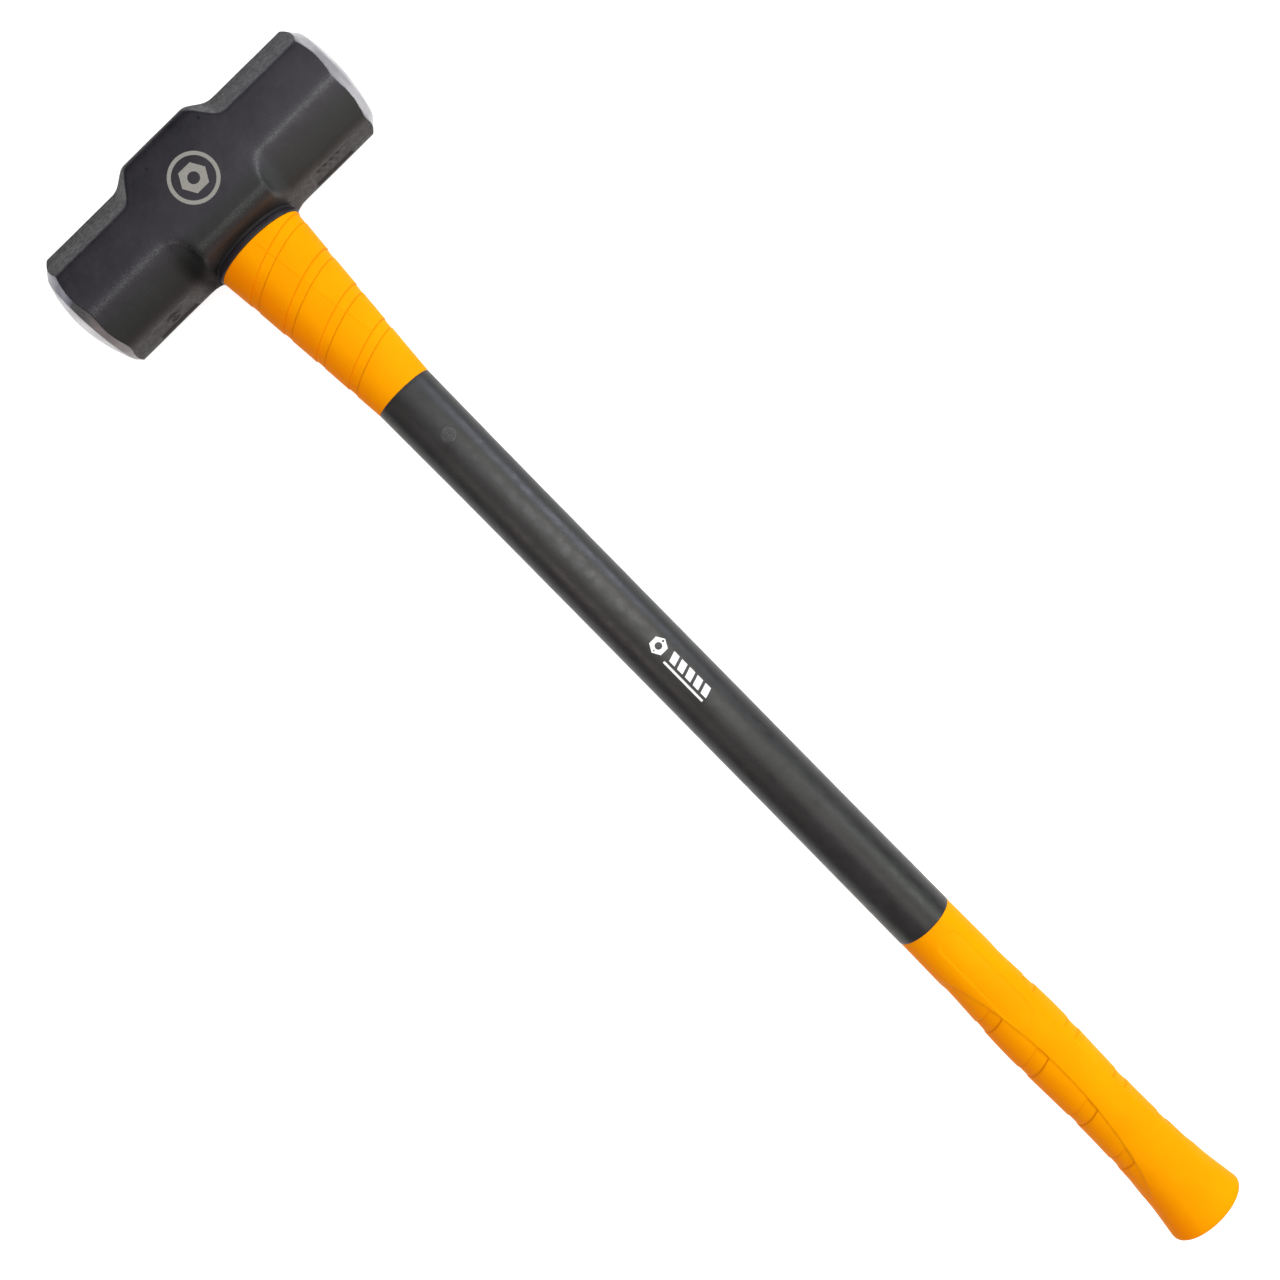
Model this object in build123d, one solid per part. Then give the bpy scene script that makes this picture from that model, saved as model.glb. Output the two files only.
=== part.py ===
from build123d import *
import math
import os

# Double-faced sledgehammer with a jacketed glassfibre handle, 14 lb class, in millimetres.
#
# The hammer lies on one cheek of its head.  +X runs along the handle from the head to the butt, +Y runs
# along the head towards one striking face, and +Z is up.  The origin is the middle of the lower cheek.
# The forged head has a square middle around the eye and octagonal ends.  The handle is an oval glassfibre
# core in a moulded jacket, whose tongue is bonded into the eye with resin, and a collar, a sleeve and a
# grip are moulded over the jacket.

# Head
HEAD_SIDE = 70.6            # across the flats of the octagonal ends, and the side of the square middle
FACE_TO_FACE = 213.4        # between the crowns of the two striking faces
FACE_RADIUS = 28.7          # rim of a striking face
CROWN_HEIGHT = 3.7          # how far a face bulges beyond its rim
BEVEL_SLOPE = 0.97          # length taken off along the head for each millimetre of radius
RIM_ROUND = 1.2             # rounded edge between face and bevel
CORNER_ROUND = 8.0          # rounded long corners of the square middle
SCOOP_START = 23.5          # where the middle's corners begin to run down to the corner facets
SCOOP_END = 39.5            # where they reach them
PANEL_LENGTH = 29.0         # shallow pocket on the underside of each end
PANEL_WIDTH = 19.0
PANEL_DEPTH = 0.6
PANEL_MIDDLE = 64.5         # distance of a pocket's middle from the handle

# Eye, an oval hole along the handle that widens towards the top of the head
EYE_LONG = 47.0
EYE_SHORT = 31.0
EYE_TAPER = 1.2             # degrees

# Handle stations along X
HEAD_TOP = -0.5 * HEAD_SIDE
HEAD_UNDERSIDE = 0.5 * HEAD_SIDE
RESIN_TOP = HEAD_TOP + 0.8  # the resin stops just short of the head's top face
TONGUE_TOP = -31.0
CORE_TOP = -25.0
RESIN_END = 29.0
GASKET_FLANGE = 2.2
RING_HEIGHT = 3.8
COLLAR_TOP = HEAD_UNDERSIDE + GASKET_FLANGE + RING_HEIGHT
TONGUE_END = 52.0
SLEEVE_TOP = 160.5
SLEEVE_END = 594.0
JACKET_END = 814.0
BUTT_END = 831.0

# Oval sections, as half the width along Y and half the thickness along Z
CORE = (12.5, 8.5)
JACKET = (15.6, 11.4)
TONGUE = (20.5, 13.0)
GASKET = (30.0, 20.6)
RING = (30.7, 21.3)
COLLAR_SECTIONS = [
    (COLLAR_TOP, 30.1, 20.7),
    (68.0, 27.5, 19.4),
    (97.0, 24.9, 17.9),
    (126.0, 22.3, 16.4),
    (SLEEVE_TOP, 19.5, 14.8),
]
SLEEVE_SECTIONS = [
    (SLEEVE_TOP, 19.5, 14.8),
    (250.0, 18.9, 15.0),
    (370.0, 18.75, 15.4),
    (490.0, 18.75, 15.8),
    (SLEEVE_END, 19.0, 16.2),
]
GRIP_SECTIONS = [
    (SLEEVE_END, 18.8, 16.0),
    (630.0, 19.2, 16.1),
    (685.0, 21.3, 16.2),
    (748.0, 20.1, 15.6),
    (800.0, 21.7, 15.4),
    (BUTT_END, 25.7, 15.8),
]
BUTT_ROUND = 2.6

# Bands let into the collar, in planes that lean across the handle
BAND_DEPTH = 0.5
COLLAR_LEAN = 18.5          # degrees
COLLAR_BANDS = [55.9, 81.4, 106.9, 132.4]
COLLAR_BAND_WIDTH = 6.2

# Leaf-shaped hollows on the grip's two narrow sides, with bands of their own
LEAF_RADIUS = 370.0
LEAF_MIDDLE = 708.0
LEAF_REACH = -9.1           # where the leaf's edge crosses the handle's middle plane, along Y
LEAF_TILT = 21.0
LEAF_DEPTH = 0.6
GRIP_LEAN = 24.0
GRIP_BANDS = [652.5, 688.2, 729.2, 764.2]
GRIP_BAND_WIDTH = 8.3

# Long shallow panel on each broad side of the grip
OVAL_LENGTH = 70.3
OVAL_WIDTH = 15.6
OVAL_MIDDLE = (636.8, 2.1)
OVAL_DEPTH = 0.3

# Grooves that key the tongue into the resin
KEY_COUNT = 3
KEY_FIRST = -18.0
KEY_PITCH = 14.0
KEY_WIDTH = 3.0
KEY_DEPTH = 1.4

LIFT = Pos(0, 0, 0.5 * HEAD_SIDE)   # carries the handle's axis to its height above the floor


def across(x):
    """The plane square to the handle at x, with its own X along Y and its own Y along Z."""
    return Plane(origin=(x, 0, 0), x_dir=(0, 1, 0), z_dir=(1, 0, 0))


def oval_bar(start, end, half_sizes):
    """A straight bar of oval section between two stations."""
    return extrude(across(start) * Ellipse(*half_sizes), end - start)


def oval_loft(sections, inset=0.0):
    """A smooth body through oval sections, each drawn in by inset."""
    return loft([across(x) * Ellipse(a - inset, b - inset) for x, a, b in sections])


def eye_cavity():
    """The eye as a solid, a little longer than the head is high."""
    overrun = 1.0
    length = HEAD_SIDE + 2 * overrun
    mouth = across(HEAD_UNDERSIDE + overrun) * SlotOverall(EYE_LONG, EYE_SHORT)
    return extrude(mouth, -length, taper=-EYE_TAPER)


def end_envelope():
    """A turned solid about Y whose two ends are the crowned faces and their bevels."""
    half = 0.5 * FACE_TO_FACE
    rim = half - CROWN_HEIGHT
    outer = 0.8 * HEAD_SIDE
    shoulder = rim - BEVEL_SLOPE * (outer - FACE_RADIUS)
    crown_radius = (FACE_RADIUS**2 + CROWN_HEIGHT**2) / (2 * CROWN_HEIGHT)
    outline = [
        Line((0, 0), (0, half)),
        RadiusArc((0, half), (FACE_RADIUS, rim), crown_radius),
        Line((FACE_RADIUS, rim), (outer, shoulder)),
        Line((outer, shoulder), (outer, 0)),
        Line((outer, 0), (0, 0)),
    ]
    quarter = make_face(outline)
    turned = revolve(quarter, Axis.Y)
    rims = turned.edges().filter_by(GeomType.CIRCLE).filter_by(lambda e: abs(e.radius - FACE_RADIUS) < 0.1)
    turned = fillet(rims, RIM_ROUND)
    return turned + mirror(turned, Plane.XZ)


def scoop_cutters():
    """Solids that take the long corners off both ends down to octagon facets, with rounded run-outs."""
    facet = 0.5 * HEAD_SIDE
    crest = facet * math.sqrt(2) - CORNER_ROUND * (math.sqrt(2) - 1)
    reach = 0.6 * FACE_TO_FACE
    over = crest + 10
    profile = [
        Spline((SCOOP_START, crest), (SCOOP_END, facet), tangents=((1, 0), (1, 0))),
        Line((SCOOP_END, facet), (reach, facet)),
        Line((reach, facet), (reach, over)),
        Line((reach, over), (SCOOP_START, over)),
        Line((SCOOP_START, over), (SCOOP_START, crest)),
    ]
    side = Plane(origin=(-0.5 * HEAD_SIDE, 0, 0), x_dir=(0, 1, 0), z_dir=(1, 0, 0))
    cutter = extrude(side * make_face(profile), HEAD_SIDE)
    pair = [cutter, mirror(cutter, Plane.XZ)]
    return [Rot(0, 45 + 90 * quarter, 0) * one for quarter in range(4) for one in pair]


def make_head():
    """The forged head, with its eye, facets, bevels, crowned faces and underside pockets."""
    block = Box(HEAD_SIDE, FACE_TO_FACE, HEAD_SIDE)
    block = fillet(block.edges().filter_by(Axis.Y), CORNER_ROUND)
    for cutter in scoop_cutters():
        block -= cutter
    block &= end_envelope()
    block -= eye_cavity()
    for side in (-1, 1):
        pocket = Box(2 * PANEL_DEPTH, PANEL_LENGTH, PANEL_WIDTH)
        block -= Pos(HEAD_UNDERSIDE, side * PANEL_MIDDLE, 0) * pocket
    return block


def make_core():
    """The glassfibre core, blind in the jacket's tongue."""
    return oval_bar(CORE_TOP, JACKET_END, CORE)


def jacket_outside():
    """The jacket's outer shape: a grooved tongue and a long slimmer body."""
    tongue = oval_bar(TONGUE_TOP, TONGUE_END, TONGUE)
    slimmer = (TONGUE[0] - KEY_DEPTH, TONGUE[1] - KEY_DEPTH)
    for index in range(KEY_COUNT):
        start = KEY_FIRST + index * KEY_PITCH
        end = start + KEY_WIDTH
        tongue -= oval_bar(start, end, TONGUE) - oval_bar(start, end, slimmer)
    return tongue + oval_bar(TONGUE_END, JACKET_END, JACKET)


def slice_across(body, start, end):
    """The part of body between two stations."""
    return body & Pos(0.5 * (start + end), 0, 0) * Box(end - start, 90, 90)


def leaning_slab(middle, width, lean):
    """A slab whose faces lean across the handle."""
    return Pos(middle, 0, 0) * Rot(0, 0, lean) * Box(width, 120, 80)


def make_gasket(jacket, eye):
    """The rubber gasket that closes the eye's mouth round the tongue and seats on the head."""
    flange = oval_bar(HEAD_UNDERSIDE, HEAD_UNDERSIDE + GASKET_FLANGE, GASKET)
    flange = fillet(flange.edges().sort_by(Axis.X)[-1], 0.8)
    return slice_across(eye, RESIN_END, HEAD_UNDERSIDE) + flange - jacket


def make_resin(jacket, eye):
    """The cured resin round and over the tongue."""
    return slice_across(eye, RESIN_TOP, RESIN_END) - jacket


def make_ring(jacket):
    """The black ring between the gasket and the collar."""
    ring = oval_bar(HEAD_UNDERSIDE + GASKET_FLANGE, COLLAR_TOP, RING)
    ring = fillet(ring.edges(), 0.7)
    return ring - jacket


def make_collar(jacket):
    """The flared collar, with leaning bands let into it."""
    collar = oval_loft(COLLAR_SECTIONS)
    skin = collar - oval_loft(COLLAR_SECTIONS, BAND_DEPTH)
    for middle in COLLAR_BANDS:
        collar -= skin & leaning_slab(middle, COLLAR_BAND_WIDTH, COLLAR_LEAN)
    return collar - jacket


def make_sleeve(jacket):
    """The smooth black sleeve over the middle of the handle."""
    return oval_loft(SLEEVE_SECTIONS) - jacket


def grip_hollows(grip):
    """What is hollowed out of one side of the grip: a leaf with its bands, and a long panel."""
    leaf = Pos(LEAF_MIDDLE, LEAF_REACH - LEAF_RADIUS, 0)
    leaf = Rot(-LEAF_TILT, 0, 0) * leaf * Cylinder(LEAF_RADIUS, 200)
    hollows = [(grip - oval_loft(GRIP_SECTIONS, LEAF_DEPTH)) & leaf]
    deeper = grip - oval_loft(GRIP_SECTIONS, LEAF_DEPTH + BAND_DEPTH)
    for middle in GRIP_BANDS:
        hollows.append(deeper & leaf & leaning_slab(middle, GRIP_BAND_WIDTH, GRIP_LEAN))
    outline = Plane.XY * Pos(*OVAL_MIDDLE) * SlotOverall(OVAL_LENGTH, OVAL_WIDTH)
    hollows.append((grip - oval_loft(GRIP_SECTIONS, OVAL_DEPTH)) & extrude(outline, 30))
    return hollows


def make_grip(jacket):
    """The swelling grip with its flared, rounded butt."""
    body = oval_loft(GRIP_SECTIONS)
    grip = fillet(body.edges().sort_by(Axis.X)[-1], BUTT_ROUND)
    for hollow in grip_hollows(body):
        grip -= hollow
        grip -= Rot(180, 0, 0) * hollow
    return grip - jacket


def main():
    eye = eye_cavity()
    outside = jacket_outside()
    core = make_core()
    pieces = {
        "hammer_head": make_head(),
        "glassfibre_core": core,
        "core_jacket": outside - core,
        "eye_resin": make_resin(outside, eye),
        "eye_gasket": make_gasket(outside, eye),
        "neck_ring": make_ring(outside),
        "neck_collar": make_collar(outside),
        "shaft_sleeve": make_sleeve(outside),
        "hand_grip": make_grip(outside),
    }
    os.makedirs("parts", exist_ok=True)
    for name, piece in pieces.items():
        export_step(LIFT * piece, f"parts/{name}.step")
        print(name, round(piece.volume / 1000, 1), "cm3")


main()
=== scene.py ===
"""Looks for the sledgehammer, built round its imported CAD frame.

The head, gasket, neck ring, collar, sleeve and grip are rebuilt as fine meshes with soft edges, bands and
hollows.  The marks, the moulded disc and the collar's seam are thin pieces laid on them.  The core, the
jacket and the resin keep their CAD meshes.
"""
import math
import random

import bpy
import numpy as np
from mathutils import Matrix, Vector


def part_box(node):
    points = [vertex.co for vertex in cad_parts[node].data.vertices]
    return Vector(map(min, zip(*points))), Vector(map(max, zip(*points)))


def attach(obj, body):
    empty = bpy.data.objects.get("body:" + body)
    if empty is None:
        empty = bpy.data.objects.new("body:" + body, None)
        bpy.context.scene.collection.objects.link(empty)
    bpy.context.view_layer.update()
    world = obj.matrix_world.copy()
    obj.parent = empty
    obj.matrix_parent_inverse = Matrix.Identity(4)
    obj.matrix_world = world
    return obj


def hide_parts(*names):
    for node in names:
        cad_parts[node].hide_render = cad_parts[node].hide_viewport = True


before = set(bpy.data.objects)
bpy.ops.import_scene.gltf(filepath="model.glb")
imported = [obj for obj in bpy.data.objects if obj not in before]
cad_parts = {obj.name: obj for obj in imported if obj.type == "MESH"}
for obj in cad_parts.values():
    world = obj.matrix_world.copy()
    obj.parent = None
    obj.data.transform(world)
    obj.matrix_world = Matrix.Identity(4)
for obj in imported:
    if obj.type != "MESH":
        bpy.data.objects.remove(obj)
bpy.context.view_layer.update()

MM = 0.001
TURN = 2 * math.pi
NEARLY_ZERO = 1e-12     # keeps a division away from zero

# ---------------------------------------------------------------- places, from the frame
head_low, head_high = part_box("hammer_head")
AXIS_Z = 0.5 * (head_low[2] + head_high[2])     # height of the handle's axis
FLAT = 0.5 * (head_high[2] - head_low[2])       # from the head's axis to each of its flats
FACE = head_high[1]                             # crown of a striking face, along Y


def span(node):
    """Where a node starts and ends along the handle."""
    low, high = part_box(node)
    return low[0], high[0]


# ---------------------------------------------------------------- numbers in functions
def smooth_step(distance, width):
    """0 below -width / 2, 1 above width / 2, and smooth between."""
    t = np.clip(distance / width + 0.5, 0.0, 1.0)
    return t * t * (3 - 2 * t)


def through(stations, x):
    """A smooth curve through (station, value) pairs, with no overshoot, read at x."""
    at, value = np.array(stations).T
    gap = np.diff(at)
    slope = np.diff(value) / gap
    before, after = slope[:-1], slope[1:]
    inner = np.where(before * after > 0, 2 * before * after / (before + after + NEARLY_ZERO), 0)
    tangent = np.concatenate([[slope[0]], inner, [slope[-1]]])
    i = np.clip(np.searchsorted(at, x) - 1, 0, len(gap) - 1)
    t = (x - at[i]) / gap[i]
    return (
        value[i] * (1 + 2 * t) * (1 - t) ** 2
        + tangent[i] * gap[i] * t * (1 - t) ** 2
        + value[i + 1] * t * t * (3 - 2 * t)
        + tangent[i + 1] * gap[i] * t * t * (t - 1)
    )


BAND_EDGE = 0.3 * MM                                    # width of a band's wall
AT_A_WALL = BAND_EDGE * np.linspace(-1.3, 1.3, 9)       # stations across a band's wall
CLEAR_OF_A_WALL = 1.6 * BAND_EDGE                       # from a wall to the nearest of the other stations


def stations_between(start, end, pitch, start_round, end_round, walls=(), steps=5):
    """Stations from start to end, close together at the two rounded ends and at the walls of bands."""
    turn = np.linspace(0, math.pi / 2, steps + 1)
    first = start + start_round * (1 - np.cos(turn))
    last = end - end_round * (1 - np.cos(turn[::-1]))
    count = max(2, round((last[0] - first[-1]) / pitch))
    middle = np.linspace(first[-1], last[0], count + 1)[1:-1]
    for wall in walls:
        middle = middle[np.abs(middle - wall) > CLEAR_OF_A_WALL]
    close = [wall + AT_A_WALL for wall in walls]
    return np.concatenate([first, np.sort(np.concatenate([middle, *close])), last])


def end_inset(x, start, end, start_round, end_round):
    """How far a surface is drawn in where its two ends are rounded."""
    inset = np.zeros_like(x)
    for distance, radius in ((x - start, start_round), (end - x, end_round)):
        if radius > 0:
            short = np.clip(radius - distance, 0, radius)
            inset += radius - np.sqrt(radius**2 - short**2)
    return inset


# ---------------------------------------------------------------- meshes
def mesh_of_rows(name, rows, closed=False):
    """A smooth mesh skinned over rings of points.

    A row of one point is a pole, and closed joins the last row to the first.
    """
    starts = np.cumsum([0] + [len(row) for row in rows])
    pairs = list(zip(range(len(rows) - 1), range(1, len(rows))))
    if closed:
        pairs.append((len(rows) - 1, 0))
    faces = []
    for one, two in pairs:
        count = max(len(rows[one]), len(rows[two]))
        here = np.arange(count)
        there = (here + 1) % count
        if len(rows[one]) == 1:
            corners = [np.full(count, starts[one]), starts[two] + there, starts[two] + here]
        elif len(rows[two]) == 1:
            corners = [starts[one] + here, starts[one] + there, np.full(count, starts[two])]
        else:
            corners = [starts[one] + here, starts[one] + there, starts[two] + there, starts[two] + here]
        faces.extend(np.stack(corners, 1).tolist())
    mesh = bpy.data.meshes.new(name)
    mesh.from_pydata(np.concatenate(rows).tolist(), [], faces)
    mesh.polygons.foreach_set("use_smooth", np.ones(len(mesh.polygons), bool))
    mesh.update()
    return mesh


def patch_mesh(name, points, columns):
    """An open patch over points that are listed row by row."""
    faces = []
    for row in range(len(points) // columns - 1):
        for column in range(columns - 1):
            k = row * columns + column
            faces.append((k, k + columns, k + columns + 1, k + 1))
    mesh = bpy.data.meshes.new(name)
    mesh.from_pydata([tuple(point) for point in points], [], faces)
    return mesh


def add_attribute(mesh, name, values):
    """A value at each point of a mesh, for its material to read."""
    layer = mesh.attributes.new(name, "FLOAT", "POINT")
    layer.data.foreach_set("value", np.asarray(values, np.float32))


def add_piece(name, mesh, materials, node=None):
    """A visible piece of the hammer, which may stand for a CAD node."""
    piece = bpy.data.objects.new(name, mesh)
    for material in materials:
        mesh.materials.append(material)
    bpy.context.scene.collection.objects.link(piece)
    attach(piece, "root")
    if node:
        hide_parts(node)
    return piece


def oval_rows(x, half_width, half_thickness, relief, count):
    """Rings of an oval section at the stations x, drawn in along their normals by relief(x, y, z)."""
    angle = np.arange(count) * TURN / count
    x = x + 0 * angle
    y = half_width * np.cos(angle) + 0 * x
    z = half_thickness * np.sin(angle) + 0 * x
    if relief is not None:
        ny = np.cos(angle) / half_width
        nz = np.sin(angle) / half_thickness
        size = np.hypot(ny, nz)
        depth = relief(x, y, z)
        y = y - depth * ny / size
        z = z - depth * nz / size
    return list(np.stack([x, y, AXIS_Z + z], 2))


def ring_rows(x, size, count):
    """Rings of one oval size, (half width, half thickness) in mm."""
    return oval_rows(np.array(x)[:, None], size[0] * MM, size[1] * MM, None, count)


def section_sizes(sections, x):
    """Half width and half thickness at x, from (place, half width, half thickness) in mm."""
    width = through([(place * MM, half * MM) for place, half, _ in sections], x)
    thickness = through([(place * MM, half * MM) for place, _, half in sections], x)
    return width, thickness


def oval_height(x, y, sections):
    """Height of the handle's upper surface above its axis."""
    width, thickness = section_sizes(sections, x)
    return thickness * np.sqrt(1 - (y / width) ** 2)


def sleeve_rows(start, end, sections, bore, pitch, rounds, relief=None, count=200, walls=(), upright=None):
    """Rows of an oval sleeve: its outside, with rounded ends, and the ends of its bore.

    Upright holds the lean of the bands, and the stations between which the rows lean with them: the last
    upright one, the first and last that lean in full, and the first that is upright again.
    """
    station = stations_between(start, end, pitch, *rounds, walls)[:, None]
    lean = 0 if upright is None else np.interp(station, upright[1:], (0, 1, 1, 0)) * math.tan(upright[0])
    across = np.cos(np.arange(count) * TURN / count)
    x = station + 0 * across
    for _ in range(4):      # the width depends on x and x on the width, and four turns settle both
        inset = end_inset(x, start, end, *rounds)
        width = section_sizes(sections, x)[0] - inset
        x = station - lean * width * across
    thickness = section_sizes(sections, x)[1] - inset
    outside = oval_rows(x, width, thickness, relief, count)
    mouth = ring_rows([start, end], bore, count)
    return [mouth[0]] + outside + [mouth[1]]


# ---------------------------------------------------------------- the forged head
FACE_RADIUS = 29.6 * MM
CROWN_HEIGHTS = (6.3 * MM, 4.2 * MM)    # at the -Y end and at the +Y end
BEVEL_SLOPE = 0.97          # how far a bevel goes along the head for each step towards the head's axis
GROUND_OFF = 5.2 * MM       # how much further out the face at -Y is ground on one side
GROUND_TOWARDS = 4.1        # where that side is, in radians round the head's axis
RIM_GAP = 0.72 * MM         # between the last row of a bevel and the first of a crown
CORNER_ROUND = 7.5 * MM     # of the long edges of the head's square middle
# from the head's axis to its corner facets, by distance along the head, in mm: on the handle's side
NEAR_SCOOP = [
    (0, 52), (24.6, 50.5), (26.2, 48), (27.4, 44.6), (29, 41.3),
    (31, 38.8), (34, 36.7), (37.5, 35.5), (41, 35.3),
]
# and on the other side
FAR_SCOOP = [
    (0, 52), (20.5, 48.6), (24, 46.4), (28, 43.1), (32, 39.4),
    (34.5, 37.3), (37, 36), (39.5, 35.4), (42, 35.3),
]
EDGE_SHARPNESS = (24, 84)   # of the edges on the handle's side and of the others; higher is sharper
EDGE_NEAR_REACH = 24 * MM         # divided by the sharpness, how far a rounded edge counts as near
UNEVEN = 0.13 * MM          # how far the forged skin waves in and out
WAVES = 9                   # that add up to the skin's waviness
WAVE_LENGTHS = (14, 46)     # shortest and longest, in mm
WEAR_AND_SHEEN_REACH = (4.5 * MM, 2.5 * MM)       # of the thinned paint and its painted sheen, before a ridge and past it
NEAR_FLAT = 0.9             # share of FLAT from which a point is on the handle's side of the head
POCKET_MIDDLE = 64.5 * MM
POCKET_HALF = (14.5 * MM, 9.5 * MM)
POCKET_DEPTH = 1.0 * MM
POCKET_WALL = 1.2 * MM
RAISED = 0.8                # share of a pocket's depth that its bars and ring rise
BAR_PITCH = 5.2 * MM
BAR_SLANT = 0.35
BAR_HALF = 1.1 * MM
BAR_FIELD = (10.5 * MM, 5.0 * MM)       # half of the patch that the bars fill
BAR_EDGE = 0.9 * MM
RING_RADIUS = 4.0 * MM
RING_HALF = 1.0 * MM
DOT_RADIUS = 1.3 * MM
RING_EDGE = 0.8 * MM
EYE_HALF = (23.5 * MM, 15.5 * MM)
EYE_TAPER = math.radians(1.2)
EYE_LIP = 1.0 * MM          # how far the eye's two mouths are opened


def rounded_square(angle):
    """From the head's axis to its square section with rounded corners."""
    c, s = np.abs(np.cos(angle)), np.abs(np.sin(angle))
    middle = FLAT - CORNER_ROUND
    flat = FLAT / np.maximum(c, s)
    b = middle * (c + s)
    corner = b + np.sqrt(np.maximum(b * b - 2 * middle**2 + CORNER_ROUND**2, 0))
    return np.where(np.minimum(c, s) * flat > middle, corner, flat)


def scoop_depth(scoop, y):
    """From the head's axis to a corner facet, at y along the head."""
    return through(np.array(scoop) * MM, np.clip(np.abs(y), 0, scoop[-1][0] * MM))


def section_radius(y, angle):
    """From the head's axis to its surface, and how near the surface is to an edge there, from 0 to 1."""
    corner = np.where(np.cos(angle) > 0, scoop_depth(FAR_SCOOP, y), scoop_depth(NEAR_SCOOP, y))
    lean = np.abs(np.cos(angle)) + np.abs(np.sin(angle))
    facet = corner * math.sqrt(2) / lean
    square = rounded_square(angle)
    sharp = np.minimum(facet, square)
    softer, sharper = EDGE_SHARPNESS
    power = sharper + (softer - sharper) * smooth_step(-np.cos(angle), 0.3)
    soft = (facet / sharp) ** -power + (square / sharp) ** -power
    radius = sharp * soft ** (-1 / power)
    side = np.minimum(np.abs(np.cos(angle)), np.abs(np.sin(angle))) * radius
    rounding = np.clip(1 - np.abs(side - (FLAT - 0.5 * CORNER_ROUND)) / (0.5 * CORNER_ROUND), 0, 1)
    edge = np.clip((sharp - radius) / (EDGE_NEAR_REACH / power), 0, 1)
    return radius, np.maximum(edge, rounding * (facet > square))


def unevenness(x, y, z):
    """The slow waviness of a forged skin, from 0 to 1."""
    chance = random.Random(7)
    total = 0
    for _ in range(WAVES):
        length = chance.uniform(*WAVE_LENGTHS) * MM
        way = Vector([chance.gauss(0, 1) for _ in range(3)]).normalized() * TURN / length
        total = total + np.sin(way[0] * x + way[1] * y + way[2] * z + chance.uniform(0, TURN))
    return np.clip(0.55 + 0.9 * total / WAVES, 0.12, 1)


def end_rows(angle, face_radius, crown):
    """One end of the head from its middle out, with a face of this radius and crown: see head_rows."""
    rim = FACE - crown
    octagon, _ = section_radius(np.array([[FACE]]), angle)
    edge = rim - BEVEL_SLOPE * (octagon - face_radius)
    # shares of the way from the middle to the bevel, close together in the scoops
    middle = np.linspace(0, 0.2, 10)
    scoop = np.linspace(0.2, 0.44, 42)[1:]
    rest = np.linspace(0.44, 0.994, 58)[1:]
    share = np.concatenate([middle, scoop, rest, [0.998]])[:, None]
    body_y = share * edge
    body_r, body_near = section_radius(body_y, angle)
    turn = np.linspace(0.02, 1, 12)[:, None]
    bevel_y = edge + (rim - RIM_GAP - edge) * turn
    bevel_r = face_radius + (rim - bevel_y) / BEVEL_SLOPE
    across = np.linspace(1, 0.02, 18)[:, None]
    crown_r = (face_radius - RIM_GAP) * across
    crown_y = FACE - crown * across**2 + 0 * angle
    y = np.concatenate([body_y, bevel_y, crown_y])
    r = np.concatenate([body_r, bevel_r, crown_r])
    near = np.concatenate([body_near, 0 * bevel_r, 0 * crown_r])
    bevel = np.concatenate([0 * body_r, turn + 0 * angle, 1 + 0 * crown_r])
    return y, r, near, bevel


def head_rows(count=320):
    """The head's surface about its own axis.

    For each point: its angle, place along the axis, radius, nearness to an edge, and place on the bevel.
    """
    angle = (np.arange(count) * TURN / count)[None, :]
    off_centre = GROUND_OFF * np.clip(np.cos(angle - GROUND_TOWARDS), 0, 1) ** 2
    left = end_rows(angle, FACE_RADIUS + off_centre, CROWN_HEIGHTS[0])
    right = end_rows(angle, FACE_RADIUS + 0 * angle, CROWN_HEIGHTS[1])
    signs = (-1, 1, 1, 1)       # only the places along the axis change sign on the left
    both = [np.concatenate([sign * one[::-1], other[1:]]) for one, other, sign in zip(left, right, signs)]
    return angle, *both


def handled_wear_and_sheen(x, y, z):
    """Where the cheeks beside the edges on the handle's side have thinned paint and a painted sheen, from 0
    to 1.
    """
    ridge = np.minimum(scoop_depth(NEAR_SCOOP, y) * math.sqrt(2) - FLAT, FLAT - 0.5 * CORNER_ROUND)
    before, past = (np.exp(-np.square((x - ridge) / reach)) for reach in WEAR_AND_SHEEN_REACH)
    return np.where(x < ridge, before, past) * smooth_step(np.abs(z) - 0.8 * FLAT, 0.2 * FLAT)


def pocket_relief(y, z):
    """Depth of the two pockets on the handle's side.

    The one at +Y holds slanted raised bars, and the one at -Y a plain raised ring.
    """
    along = np.abs(y) - POCKET_MIDDLE
    inside = np.minimum(POCKET_HALF[0] - np.abs(along), POCKET_HALF[1] - np.abs(z))
    pocket = smooth_step(inside, POCKET_WALL)
    off_bar = np.abs((along + BAR_SLANT * z) / BAR_PITCH % 1 - 0.5) * BAR_PITCH
    bars = smooth_step(BAR_HALF - off_bar, BAR_EDGE)
    for place, half in zip((along, z), BAR_FIELD):
        bars = bars * smooth_step(half - np.abs(place), BAR_EDGE)
    out = np.hypot(along, z)
    ring = smooth_step(RING_HALF - np.abs(out - RING_RADIUS), RING_EDGE)
    ring = ring + smooth_step(DOT_RADIUS - out, RING_EDGE)
    return POCKET_DEPTH * pocket * (1 - RAISED * np.where(y > 0, bars, ring))


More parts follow.
